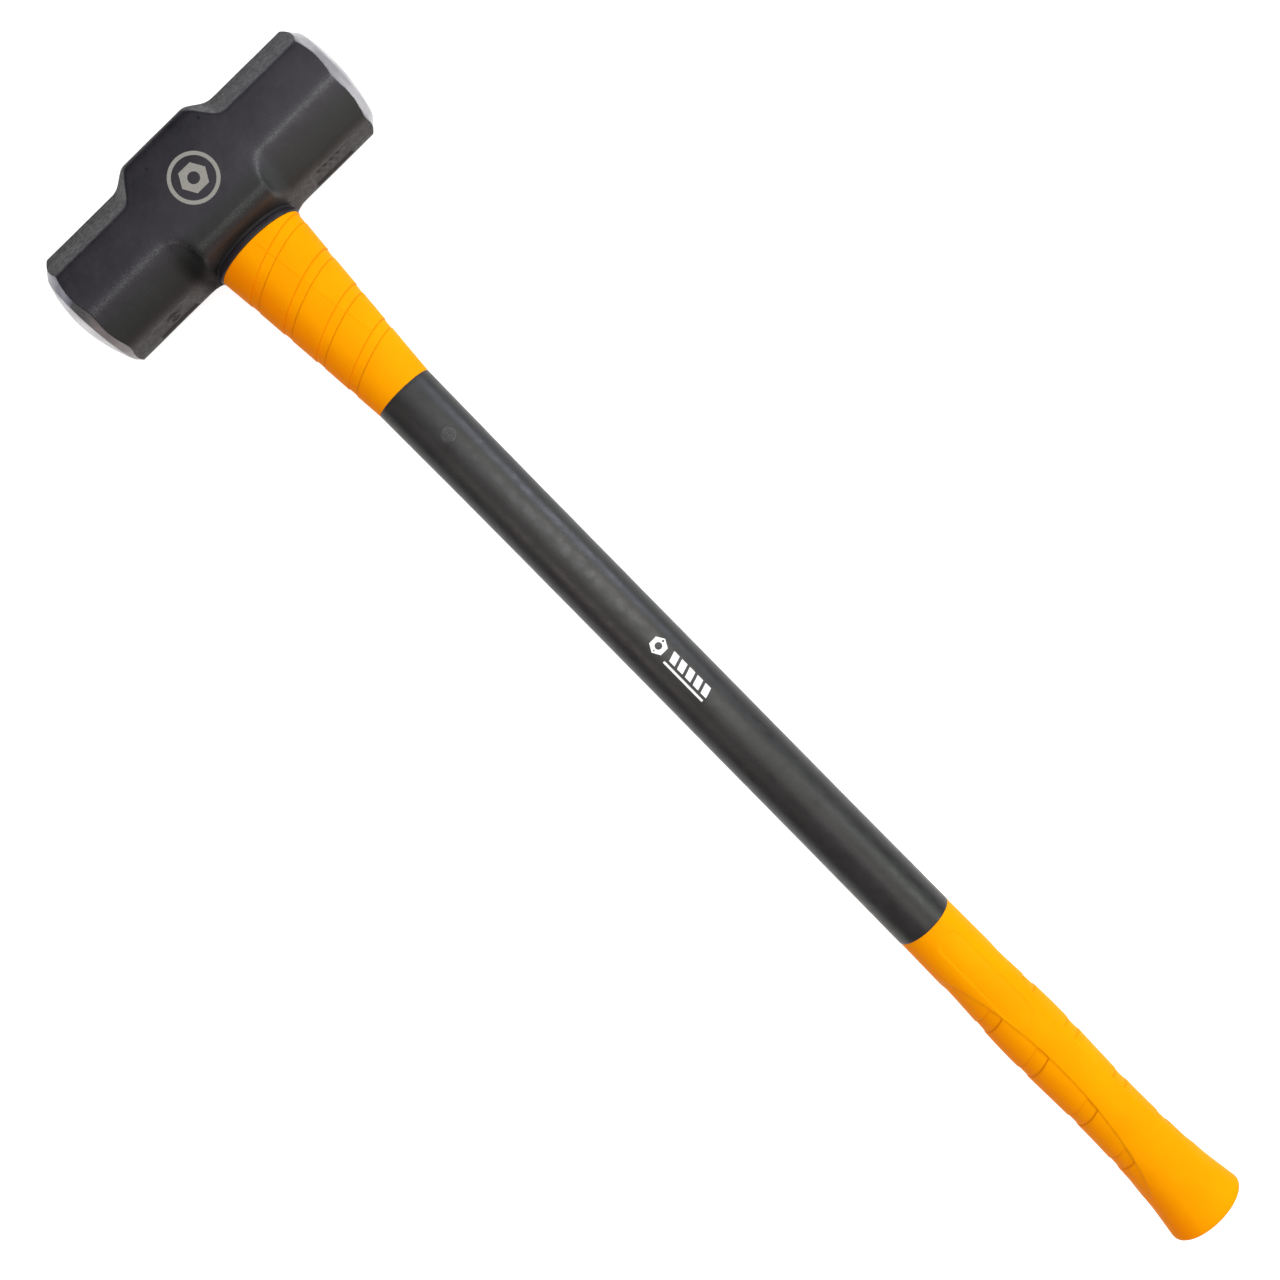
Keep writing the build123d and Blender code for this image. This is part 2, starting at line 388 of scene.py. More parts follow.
def eye_cutter():
    """The eye as a solid that reaches past the head's flats, with its two mouths slightly opened."""
    over = 2 * MM
    x = np.array([-FLAT - over, -FLAT, -FLAT + EYE_LIP, FLAT - EYE_LIP, FLAT, FLAT + over])
    grow = -math.tan(EYE_TAPER) * (x - FLAT) + EYE_LIP * np.array([1, 1, 0, 0, 1, 1])
    angle = np.arange(128) * TURN / 128
    straight = EYE_HALF[0] - EYE_HALF[1]
    rows = [np.array([[x[0], 0, AXIS_Z]])]
    for station, more in zip(x, grow):
        y = (EYE_HALF[1] + more) * np.cos(angle) + straight * np.sign(np.cos(angle))
        z = (EYE_HALF[1] + more) * np.sin(angle)
        rows.append(np.stack([station + 0 * y, y, AXIS_Z + z], 1))
    rows.append(np.array([[x[-1], 0, AXIS_Z]]))
    return bpy.data.objects.new("eye_cutter", mesh_of_rows("eye_cutter", rows))


def cut_away(piece, cutter):
    """Take the cutter's solid out of a piece, and the cutter out of the scene."""
    bpy.context.scene.collection.objects.link(cutter)
    cut = piece.modifiers.new("cut", "BOOLEAN")
    cut.object = cutter
    cut.operation = "DIFFERENCE"
    cut.solver = "MANIFOLD"
    graph = bpy.context.evaluated_depsgraph_get()
    piece.data = bpy.data.meshes.new_from_object(piece.evaluated_get(graph))
    piece.modifiers.clear()
    bpy.data.objects.remove(cutter)


def make_head(paint, steel):
    """The head: painted on its body, and bare steel on its bevels and faces."""
    angle, y, r, near, bevel = head_rows()
    skin = r - UNEVEN * np.where(bevel > 0, 0, unevenness(-r * np.cos(angle), y, r * np.sin(angle)))
    x = -skin * np.cos(angle)
    z = skin * np.sin(angle)
    x = x - np.where(x > NEAR_FLAT * FLAT, pocket_relief(y, z), 0)
    grid = np.stack([x, y, AXIS_Z + z], 2)
    rows = [np.array([[0, -FACE, AXIS_Z]])] + list(grid) + [np.array([[0, FACE, AXIS_Z]])]
    mesh = mesh_of_rows("forged_head", rows)
    # a strip of thinned paint and painted sheen beside the edges on the handle's side
    wear_and_sheen = handled_wear_and_sheen(x, y, z)
    for name, values, pole in (("near_edge", near, 0), ("wear_and_sheen", wear_and_sheen, 0), ("bevel", bevel, 1)):
        add_attribute(mesh, name, np.concatenate([[pole], values.ravel(), [pole]]))
    ground = np.concatenate([[1], bevel[:, 0] > 0, [1]])
    steps = np.minimum(ground[:-1], ground[1:]).astype(int)
    mesh.polygons.foreach_set("material_index", np.repeat(steps, grid.shape[1]))
    head = add_piece("forged_head", mesh, [paint, steel], "hammer_head")
    cut_away(head, eye_cutter())


# ---------------------------------------------------------------- the handle's mouldings
JACKET = (15.6, 11.4)       # half width and half thickness of the bore over the jacket, in mm
TONGUE = (20.5, 13.0)       # and of the bore over its tongue
# place along the handle, half width and half thickness, in mm
COLLAR_SECTIONS = [
    (41.3, 30.1, 20.7),
    (68.0, 27.5, 19.4),
    (97.0, 24.9, 17.9),
    (126.0, 22.3, 16.4),
    (160.5, 19.5, 14.8),
]
SLEEVE_SECTIONS = [
    (160.5, 19.5, 14.8),
    (250, 18.9, 15.0),
    (370, 18.75, 15.4),
    (490, 18.75, 15.8),
    (594, 19.0, 16.2),
]
GRIP_SECTIONS = [
    (594.0, 18.8, 16.0),
    (630.0, 19.2, 16.1),
    (685.0, 21.3, 16.2),
    (748.0, 20.1, 15.6),
    (800.0, 21.7, 15.4),
    (831.0, 25.7, 15.8),
]
NECK_RING_SIZE = (30.7, 21.3)
GASKET_SIZE = (30.0, 20.6)
GROOVE_DEPTH = 0.16 * MM    # of the fine groove along each band's walls
GROOVE_REACH = 0.20 * MM
LINE_REACH = 0.32 * MM      # how far the painted shade along a band's wall reaches
COLLAR_LEAN = math.radians(18.5)
COLLAR_BANDS = [55.9 * MM, 81.4 * MM, 106.9 * MM, 132.4 * MM]
COLLAR_BAND_WIDTH = 6.2 * MM
COLLAR_BAND_DEPTH = 0.42 * MM
COLLAR_STEP = 0.22 * MM     # how much lower the collar starts past a band than it ends at the next
GRIP_LEAN = math.radians(24)
GRIP_BANDS = [652.5 * MM, 688.2 * MM, 729.2 * MM, 764.2 * MM]
GRIP_BAND_WIDTH = 8.3 * MM
GRIP_BAND_DEPTH = 0.5 * MM
LEAF = (708 * MM, -379.1 * MM, 370 * MM)    # the leaf's arc: its centre along X and across, and its radius
LEAF_TILT = math.radians(21)
LEAF_DEPTH = 0.6 * MM
LEAF_EDGE = 0.6 * MM
OVAL_MIDDLE = (636.8 * MM, 2.1 * MM)
OVAL_HALF = (27.3 * MM, 7.8 * MM)           # half of its straight length, and its half width
OVAL_DEPTH = 0.32 * MM
OVAL_EDGE = 0.8 * MM
SEAM_PATH = [(44, 0.3), (90, 6.2), (128, 12.6)]     # along the collar and across it, in mm
SEAM_HALF = 0.38 * MM
SEAM_LIFT = (-0.05 * MM, 0.20 * MM, -0.05 * MM)     # of its three lines above the collar
BAND_COUNT = 288            # points round the collar and the grip, which have bands


def inside_band(x, y, middles, width, lean):
    """How far inside a leaning band's walls, or outside them below 0."""
    station = x + y * math.tan(lean)
    away = np.min([np.abs(station - middle) for middle in middles], 0)
    return 0.5 * width / math.cos(lean) - away


def near_wall(inside, reach):
    """1 on a band's wall, falling away to both sides of it."""
    return np.exp(-np.square(inside / reach))


def band_walls(middles, width, lean):
    """Where the walls of the bands cross the handle's middle, in order along it."""
    return sorted(middle + side * 0.5 * width / math.cos(lean) for middle in middles for side in (-1, 1))


def collar_relief(x, y, _):
    """How far the collar is drawn in: its leaning bands, and the steps between them."""
    inside = inside_band(x, y, COLLAR_BANDS, COLLAR_BAND_WIDTH, COLLAR_LEAN)
    band = smooth_step(inside, BAND_EDGE)
    turn = (x + y * math.tan(COLLAR_LEAN) - COLLAR_BANDS[0]) / (COLLAR_BANDS[1] - COLLAR_BANDS[0])
    rise = np.where((turn > 0) & (turn < len(COLLAR_BANDS) - 1), turn % 1, 0.5)
    depth = COLLAR_BAND_DEPTH * band + COLLAR_STEP * (0.5 - rise) * (1 - band)
    return depth + GROOVE_DEPTH * near_wall(inside, GROOVE_REACH)


def collar_groove_shade(x, y, _):
    """How strongly the collar is darkened by painted shade along its bands' walls, from 0 to 1."""
    return near_wall(inside_band(x, y, COLLAR_BANDS, COLLAR_BAND_WIDTH, COLLAR_LEAN), LINE_REACH)


def leaf_share(x, y, z):
    """1 inside the leaf hollow of the grip's upper side, 0 outside it."""
    across = y * math.cos(LEAF_TILT) - z * math.sin(LEAF_TILT)
    return smooth_step(LEAF[2] - np.hypot(x - LEAF[0], across - LEAF[1]), LEAF_EDGE)


def both_sides(y, z):
    """A place on the grip, and the same place with the grip turned half a turn about its axis."""
    return (y, z), (-y, -z)


def grip_groove_shade(x, y, z):
    """How strongly the grip is darkened by painted shade along its bands' walls, from 0 to 1."""
    lines = np.zeros_like(x)
    for side_y, side_z in both_sides(y, z):
        inside = inside_band(x, side_y, GRIP_BANDS, GRIP_BAND_WIDTH, GRIP_LEAN)
        lines += leaf_share(x, side_y, side_z) * near_wall(inside, LINE_REACH)
    return lines


def grip_relief(x, y, z):
    """How far the grip is drawn in: on each side a leaf hollow with leaning bands, and an oval panel."""
    depth = np.zeros_like(x)
    for side_y, side_z in both_sides(y, z):
        inside = inside_band(x, side_y, GRIP_BANDS, GRIP_BAND_WIDTH, GRIP_LEAN)
        hollow = LEAF_DEPTH + GRIP_BAND_DEPTH * smooth_step(inside, BAND_EDGE)
        hollow = hollow + GROOVE_DEPTH * near_wall(inside, GROOVE_REACH)
        depth += leaf_share(x, side_y, side_z) * hollow
        run = np.maximum(np.abs(x - OVAL_MIDDLE[0]) - OVAL_HALF[0], 0)
        oval = OVAL_HALF[1] - np.hypot(run, side_y - OVAL_MIDDLE[1])
        depth += OVAL_DEPTH * smooth_step(oval, OVAL_EDGE) * (side_z > 0)
    return depth


def lines_on(rows, lines):
    """The strength of the painted shade lines at every point of the rows."""
    x, y, z = np.concatenate(rows).T
    return lines(x, y, z - AXIS_Z)


def make_collar(yellow):
    start, end = span("neck_collar")
    walls = band_walls(COLLAR_BANDS, COLLAR_BAND_WIDTH, COLLAR_LEAN)
    upright = (COLLAR_LEAN, start + 0.6 * MM, walls[0] - 0.5 * MM, walls[-1] + 0.5 * MM, end - 1 * MM)
    shape = (start, end, COLLAR_SECTIONS, JACKET, 0.8 * MM, (0.4 * MM, 0.2 * MM))
    rows = sleeve_rows(*shape, collar_relief, BAND_COUNT, walls, upright)
    mesh = mesh_of_rows("moulded_collar", rows, True)
    add_attribute(mesh, "groove_shade", lines_on(rows, collar_groove_shade))
    add_piece("moulded_collar", mesh, [yellow], "neck_collar")


def make_grip(yellow):
    """The grip, whose bore is closed at the jacket's end, and whose butt is closed at the handle's."""
    start, end = span("hand_grip")
    walls = band_walls(GRIP_BANDS, GRIP_BAND_WIDTH, GRIP_LEAN)
    upright = (GRIP_LEAN, start + 3 * MM, walls[0] - 4 * MM, walls[-1] + 2 * MM, end - 6 * MM)
    shape = (start, end, GRIP_SECTIONS, JACKET, 0.96 * MM, (0.2 * MM, 2.6 * MM))
    rows = sleeve_rows(*shape, grip_relief, BAND_COUNT, walls, upright)
    jacket_end = span("core_jacket")[1]
    bore = ring_rows([jacket_end], JACKET, BAND_COUNT)
    butt = [rows[-2] * [1, share, share] + [0, 0, AXIS_Z * (1 - share)] for share in (0.75, 0.5, 0.25)]
    poles = [np.array([[x, 0, AXIS_Z]]) for x in (jacket_end, end)]
    rows = [poles[0]] + bore + rows[:-1] + butt + [poles[1]]
    mesh = mesh_of_rows("moulded_grip", rows)
    add_attribute(mesh, "groove_shade", lines_on(rows, grip_groove_shade))
    add_piece("moulded_grip", mesh, [yellow], "hand_grip")


def make_tube(name, ends, sections, bore, pitch, rounds, material, slot, node):
    """A plain oval tube between its two ends."""
    rows = sleeve_rows(*ends, sections, bore, pitch, rounds)
    add_piece(name, mesh_of_rows(name, rows, True), [material], node)


def make_ring(name, ends, size, rounds, material, slot, node):
    """A ring round the tongue, of one size from end to end."""
    sections = [(x / MM, *size) for x in ends]
    make_tube(name, ends, sections, TONGUE, 0.6 * MM, rounds, material, slot, node)


def make_collar_seam(yellow):
    """The thin line left by the mould along the collar."""
    along, across = np.array(SEAM_PATH).T * MM
    x = np.linspace(along[0], along[-1], 90)
    rows = []
    for side, lift in zip((-SEAM_HALF, 0, SEAM_HALF), SEAM_LIFT):
        y = np.interp(x, along, across) + side
        z = oval_height(x, y, COLLAR_SECTIONS) - collar_relief(x, y, 0) + lift
        rows.append(np.stack([x, y, AXIS_Z + z], 1))
    points = np.stack(rows, 1).reshape(-1, 3)
    add_piece("collar_seam", patch_mesh("collar_seam", points, len(SEAM_LIFT)), [yellow])


def make_handle(yellow, black, ring_black, rubber):
    make_collar(yellow)
    sleeve = ("moulded_sleeve", span("shaft_sleeve"), SLEEVE_SECTIONS, JACKET, 3 * MM, (0.3 * MM, 0.5 * MM))
    make_tube(*sleeve, black, "black_sleeve", "shaft_sleeve")
    make_grip(yellow)
    ring = ("moulded_neck_ring", span("neck_ring"), NECK_RING_SIZE, (0.9 * MM, 0.7 * MM))
    make_ring(*ring, ring_black, "neck_ring", "neck_ring")
    # the part of the gasket inside the eye can't be seen, so this one starts on the head's flat
    gasket = ("rubber_gasket", (head_high[0], span("eye_gasket")[1]), GASKET_SIZE, (0.2 * MM, 0.9 * MM))
    make_ring(*gasket, rubber, "black_rubber", "eye_gasket")
    make_collar_seam(yellow)


# ---------------------------------------------------------------- marks
CHEEK_MARK = (0.0, 1.0 * MM)            # middle of the etched mark
CHEEK_RING = (15.0 * MM, 12.7 * MM)     # outer and inner radius
CHEEK_HEXAGON = (15.5 * MM, 3.6 * MM)   # width across its flats, and radius of its hole
CHEEK_SINK = 0.004 * MM                 # keeps the etched mark inside the object's box
SLEEVE_MARK = (369.0 * MM, 2.4 * MM)
SLEEVE_HEXAGON = (9.6 * MM, 2.2 * MM)
INK_LIFT = 0.05 * MM
BAR_COUNT = 5
BAR_STEP = 6.4 * MM
BAR_WIDE = 4.4 * MM
BAR_LEAN = 1.9 * MM
BAR_SPAN = (0.6 * MM, 6.8 * MM)         # where the bars start and end across the sleeve
LINE_START = 377.6 * MM                 # of the bars too
LINE_LONG = 31.6 * MM
LINE_SPAN = (-2.6 * MM, -1.2 * MM)
DISC_MIDDLE = (198.0 * MM, 1.5 * MM)
DISC_RADIUS = 4.7 * MM
DISC_SINK = 0.02 * MM                   # of its outer edge below the sleeve
DISC_RISE = 0.04 * MM
RIB_HEIGHT = 0.26 * MM
RIB_PITCH = 1.5 * MM
RIB_SWAY = (0.35 * MM, 1.6 / MM)        # how far a rib wanders, and how fast along it


def ring_mesh(name, outer, inner, lay):
    """A flat ring between two outlines, which may have corners, laid on a surface."""
    rows = [np.array([lay(*point) for point in outline]) for outline in (outer, inner)]
    mesh = mesh_of_rows(name, rows)
    mesh.polygons.foreach_set("use_smooth", np.zeros(len(mesh.polygons), bool))
    return mesh


def outline(radius_at, middle, count=96):
    """Points at even angles round a middle, so that any two outlines pair up."""
    points = []
    for angle in np.arange(count) * TURN / count:
        radius = radius_at(angle)
        points.append((middle[0] + radius * math.cos(angle), middle[1] + radius * math.sin(angle)))
    return points


def circle(radius, middle):
    return outline(lambda angle: radius, middle)


def hexagon(across, middle):
    def corner_out(angle):
        return 0.5 * across / math.cos((angle + TURN / 12) % (TURN / 6) - TURN / 12)

    return outline(corner_out, middle)


def bar_mesh(name, corners, lay, steps=8):
    """A four-cornered patch laid on a surface."""
    a, b, c, d = (np.array(corner) for corner in corners)
    shares = np.linspace(0, 1, steps)
    points = [(a * (1 - i) + b * i) * (1 - j) + (d * (1 - i) + c * i) * j for i in shares for j in shares]
    return patch_mesh(name, [lay(*point) for point in points], steps)


def sleeve_height(x, y):
    return float(oval_height(np.array([x]), y, SLEEVE_SECTIONS)[0])


def on_cheek(x, y):
    return (x, y, AXIS_Z + FLAT - CHEEK_SINK)


def on_sleeve(x, y):
    return (x, y, AXIS_Z + sleeve_height(x, y) + INK_LIFT)


def make_marks(etch, ink):
    """The mark etched on the cheek, and the hexagon, the bars and the line printed on the sleeve."""
    ring = ring_mesh("cheek_ring", *(circle(radius, CHEEK_MARK) for radius in CHEEK_RING), on_cheek)
    add_piece("cheek_ring", ring, [etch])
    for name, sizes, middle, lay, material, slot in (
        ("cheek_hexagon", CHEEK_HEXAGON, CHEEK_MARK, on_cheek, etch, "forged_head"),
        ("sleeve_hexagon", SLEEVE_HEXAGON, SLEEVE_MARK, on_sleeve, ink, "black_sleeve"),
    ):
        nut = ring_mesh(name, hexagon(sizes[0], middle), circle(sizes[1], middle), lay)
        add_piece(name, nut, [material])
    low, high = BAR_SPAN
    for index in range(BAR_COUNT):
        left = LINE_START + BAR_STEP * index
        right = left + BAR_WIDE
        corners = [(left + BAR_LEAN, low), (right + BAR_LEAN, low), (right, high), (left, high)]
        bar = bar_mesh("sleeve_bar", corners, on_sleeve)
        add_piece(f"sleeve_bar_{index + 1}", bar, [ink])
    low, high = LINE_SPAN
    left, right = LINE_START, LINE_START + LINE_LONG
    corners = [(left, low), (right, low), (right, high), (left, high)]
    add_piece("sleeve_line", bar_mesh("sleeve_line", corners, on_sleeve, 16), [ink])


def make_moulded_disc(plastic):
    """A small round moulding mark on the sleeve, with plain wavy ribs across it."""
    rows = []
    for share in np.linspace(1, 0.02, 24):
        rim = min(1.0, (1 - share) / 0.12)      # the disc rises from its edge in the outer 12 % of its radius
        row = []
        for x, y in circle(DISC_RADIUS * share, DISC_MIDDLE):
            sway = RIB_SWAY[0] * math.sin((y - DISC_MIDDLE[1]) * RIB_SWAY[1])
            ribs = 0.5 + 0.5 * math.sin((x - DISC_MIDDLE[0] + sway) * TURN / RIB_PITCH)
            lift = (RIB_HEIGHT * ribs + DISC_RISE) * rim - DISC_SINK
            row.append((x, y, AXIS_Z + sleeve_height(x, y) + lift))
        rows.append(np.array(row))
    add_piece("sleeve_disc", mesh_of_rows("sleeve_disc", rows), [plastic])


# ---------------------------------------------------------------- materials
class Surface:
    """A material, with short names for the nodes that it is made of."""

    def __init__(self, name, roughness=0.5, metallic=0.0, specular=0.5):
        self.material = bpy.data.materials.new(name)
        self.material.use_nodes = True
        self.tree = self.material.node_tree
        self.shader = self.tree.nodes["Principled BSDF"]
        self.shader.inputs["Roughness"].default_value = roughness
        self.shader.inputs["Metallic"].default_value = metallic
        self.shader.inputs["Specular IOR Level"].default_value = specular
        self.place = self.add("ShaderNodeTexCoord", {}).outputs["Object"]

    def put(self, socket, value):
        if isinstance(value, bpy.types.NodeSocket):
            self.tree.links.new(value, socket)
        else:
            socket.default_value = value

    def add(self, kind, inputs, **settings):
        node = self.tree.nodes.new(kind)
        for name, value in settings.items():
            setattr(node, name, value)
        for name, value in inputs.items():
            self.put(node.inputs[name], value)
        return node

    def stretched(self, x, y, z):
        return self.add("ShaderNodeMapping", {"Vector": self.place, "Scale": (x, y, z)}).outputs[0]

    def noise(self, scale, detail=3.0, roughness=0.55, vector=None):
        inputs = {"Vector": vector or self.place, "Scale": scale, "Detail": detail, "Roughness": roughness}
        return self.add("ShaderNodeTexNoise", inputs).outputs[0]

    def axes(self):
        return self.add("ShaderNodeSeparateXYZ", {"Vector": self.place}).outputs

    def cells(self, scale):
        return self.add("ShaderNodeTexVoronoi", {"Vector": self.place, "Scale": scale})

    def attribute(self, name):
        return self.add("ShaderNodeAttribute", {}, attribute_name=name).outputs["Fac"]

    def maths(self, operation, one, two=0.0):
        return self.add("ShaderNodeMath", {0: one, 1: two}, operation=operation).outputs[0]

    def vector(self, operation, one, two=(0, 0, 0)):
        return self.add("ShaderNodeVectorMath", {0: one, 1: two}, operation=operation)

    def ramp(self, value, low, high, start=0.0, end=1.0):
        inputs = {"Value": value, "From Min": low, "From Max": high, "To Min": start, "To Max": end}
        return self.add("ShaderNodeMapRange", inputs, interpolation_type="SMOOTHSTEP").outputs[0]

    def mix(self, factor, one, two):
        one, two = ((*c, 1) if isinstance(c, tuple) else c for c in (one, two))
        return self.add("ShaderNodeMix", {0: factor, 6: one, 7: two}, data_type="RGBA").outputs[2]

    def bump(self, height, distance, normal=None):
        inputs = {"Height": height, "Distance": distance, "Strength": 1.0}
        if normal:
            inputs["Normal"] = normal
        return self.add("ShaderNodeBump", inputs).outputs[0]

    def finish(self, **sockets):
        for name, value in sockets.items():
            value = (*value, 1) if isinstance(value, tuple) else value
            self.put(self.shader.inputs[name.replace("_", " ")], value)
        return self.material


# colours of the head's paint
# painted light: the cheeks run from their shaded side to their lit side between these two
CHEEK_PAINT_SHADE_TO_LIGHT = ((0.0066, 0.0056, 0.0092), (0.0440, 0.0400, 0.0490))      # where darkest and where palest
FACET_PAINT_SHADE_TO_LIGHT = ((0.0185, 0.0187, 0.0188), (0.0290, 0.0292, 0.0288))      # painted light: shaded at the -Y end and lit at the +Y end
NEAR_FLAT_PAINT_AND_BOUNCE = (0.0265, 0.0222, 0.0215)      # on the flat at the handle's side: its paint, warmed by painted bounce light from the yellow collar
SHADED_PAINT = (0.0040, 0.0038, 0.0040)
SPARKLE_AND_GLINT = (0.115, 0.124, 0.120)                 # grains of steel through thinned paint, and painted glints and sheen by the edges
PIT = (0.004, 0.004, 0.004)
EDGE_PAINT = (0.016, 0.016, 0.018)              # where the paint ends on the bevels
# colours of its steel, each where dark and where pale; the bevels' tones are painted reflections and painted
# light
BRIGHT_STEEL = ((0.33, 0.32, 0.335), (0.47, 0.457, 0.478))              # the faces, and the bevel at +Y, made brighter there as painted light
LILAC_REFLECTION_STEEL = ((0.115, 0.111, 0.142), (0.225, 0.214, 0.262))            # painted reflection on the bevel at -Y, on the far side
DARK_REFLECTION_STEEL = ((0.040, 0.038, 0.037), (0.066, 0.064, 0.062))          # painted dark reflection at its middle
WARM_REFLECTION_STEEL = ((0.110, 0.090, 0.088), (0.205, 0.166, 0.162))             # and painted warm reflection on the handle's side
TURNED_STEEL = (0.19, 0.185, 0.195)
# darker steel towards the bevels' outer edges
OUTER_BEVEL_STEEL = (0.10, 0.10, 0.104)
# colours of the other pieces, each where dark and where pale
YELLOW = ((0.97, 0.338, 0.0), (0.99, 0.362, 0.0))
SHADE_ORANGE = (1.0, 0.235, 0.0)                 # painted shade: the yellow mouldings turn a deeper orange on their -Y side
# painted shade in the fine grooves along the bands' walls
GROOVE_SHADE_ORANGE = (0.62, 0.13, 0.0)
BLACK = ((0.0205, 0.0198, 0.0200), (0.0265, 0.0256, 0.0260))
DISC_BLACK = ((0.050, 0.049, 0.050), (0.060, 0.058, 0.059))
RING_BLACK = ((0.0100, 0.0078, 0.0116), (0.0142, 0.0110, 0.0160))
RUBBER = ((0.0085, 0.0082, 0.0090), (0.0130, 0.0125, 0.0135))
RESIN = ((0.010, 0.009, 0.008), (0.028, 0.024, 0.018))
GLASSFIBRE = ((0.36, 0.26, 0.10), (0.72, 0.62, 0.38))
ETCHED_STEEL = ((0.23, 0.22, 0.20), (0.36, 0.345, 0.32))
INK = ((0.55, 0.55, 0.54), (0.93, 0.93, 0.92))


def paint_colour_and_light(s, x, y):
    """The paint before its steel grains show, with painted light: paler towards the handle and +Y, with other
    tones on the facets and the flat.
    """
    # painted light: the cheek is paler towards the handle's side and towards +Y, where the light comes from
    tone = s.maths("MULTIPLY", s.ramp(x, -34 * MM, 16 * MM), 0.55)
    tone = s.maths("ADD", tone, s.ramp(y, -100 * MM, 100 * MM, 0.0, 0.35))
    tone = s.maths("ADD", tone, s.ramp(s.noise(55, 4), 0.3, 0.7, -0.10, 0.10))
    tone = s.maths("SUBTRACT", tone, s.ramp(x, 18 * MM, 34 * MM, 0.0, 0.30))
    # painted light: the facets on the handle's side are paler towards +Y
    facet = s.mix(s.ramp(y, -90 * MM, 90 * MM), *FACET_PAINT_SHADE_TO_LIGHT)
    colour = s.mix(s.ramp(x, 14 * MM, 26 * MM), s.mix(tone, *CHEEK_PAINT_SHADE_TO_LIGHT), facet)
    # the flat at the handle's side takes a warm tone, partly painted bounce light from the yellow collar
    return s.mix(s.ramp(x, 31 * MM, 34.5 * MM), colour, NEAR_FLAT_PAINT_AND_BOUNCE)


def scoop_shade(s, x, y):
    """How strongly the scoop at -Y is darkened on the handle's side."""
    shade = s.maths("MULTIPLY", s.ramp(y, -22 * MM, -30 * MM), s.ramp(y, -46 * MM, -36 * MM))
    return s.maths("MULTIPLY", shade, s.ramp(x, 18 * MM, 28 * MM, 0.0, 0.7))


def paint_sparkle_and_glint(s, grain, edge):
    """Where grains of steel show through the thinned paint, with painted glints and sheen: on the edges, and
    in the strips beside them.
    """
    rubbed_and_lit = s.maths("ADD", s.maths("MULTIPLY", edge, 0.11), s.maths("MULTIPLY", s.attribute("wear_and_sheen"), 0.09))
    worn_and_lit = s.maths("ADD", rubbed_and_lit, s.ramp(s.noise(70, 3), 0.35, 0.75, -0.03, 0.03))
    return s.maths("MULTIPLY", s.ramp(s.maths("ADD", grain, worn_and_lit), 0.64, 0.80), 0.55)


def paint_pits(s, x, grain):
    """Pits in the forging: most on the far side of the cheeks, in patches, and few elsewhere."""
    spots = s.cells(230)
    chance = s.add("ShaderNodeSeparateColor", {0: spots.outputs["Color"]}).outputs[0]
    patches = s.maths("MULTIPLY", s.ramp(x, -12 * MM, -20 * MM), s.ramp(s.noise(28, 1), 0.42, 0.56))
    few = s.ramp(s.noise(16, 1), 0.60, 0.70, 0.0, 0.10)
    size = s.maths("ADD", s.maths("MULTIPLY", patches, 0.19), few)
    out = s.maths("ADD", spots.outputs["Distance"], s.ramp(grain, 0.3, 0.7, -0.05, 0.05))
    return s.maths("MULTIPLY", s.maths("LESS_THAN", out, size), s.maths("GREATER_THAN", chance, 0.80))


def painted_forging():
    """Thin matt black paint on a rough forging: steel grains and painted glints on its edges, painted light
    and shade, a few pits.
    """
    s = Surface("painted_forging")
    x, y, _ = s.axes()
    off_middle = s.maths("ABSOLUTE", x)
    grain = s.noise(1500, 2, 0.7)
    edge = s.attribute("near_edge")
    shade = scoop_shade(s, x, y)
    pit = paint_pits(s, x, grain)
    calm = s.ramp(off_middle, 26 * MM, 33 * MM, 1.0, 0.30)      # on the flats that the eye runs between
    colour = s.mix(shade, paint_colour_and_light(s, x, y), SHADED_PAINT)
    # grains of steel through thinned paint, and painted glints and sheen by the edges
    colour = s.mix(s.maths("MULTIPLY", paint_sparkle_and_glint(s, grain, edge), calm), colour, SPARKLE_AND_GLINT)
    colour = s.mix(pit, colour, PIT)
    height = s.maths("ADD", s.maths("MULTIPLY", grain, 0.6), s.maths("MULTIPLY", s.noise(500, 3), 0.5))
    normal = s.bump(s.maths("MULTIPLY", height, calm), 0.12 * MM)
    normal = s.bump(s.noise(60, 2), 0.7 * MM, normal)
    normal = s.bump(s.maths("MULTIPLY", pit, -1.0), 0.4 * MM, normal)
    polish = s.maths("SUBTRACT", s.noise(420, 3), s.maths("MULTIPLY", edge, 0.25))
    roughness = s.ramp(polish, 0.2, 0.75, 0.40, 0.60)
    gloss = s.ramp(off_middle, 22 * MM, 34 * MM, 0.33, 0.18)
    gloss = s.maths("SUBTRACT", gloss, s.maths("MULTIPLY", shade, 0.22))
    return s.finish(Base_Color=colour, Roughness=roughness, Normal=normal, Specular_IOR_Level=gloss)


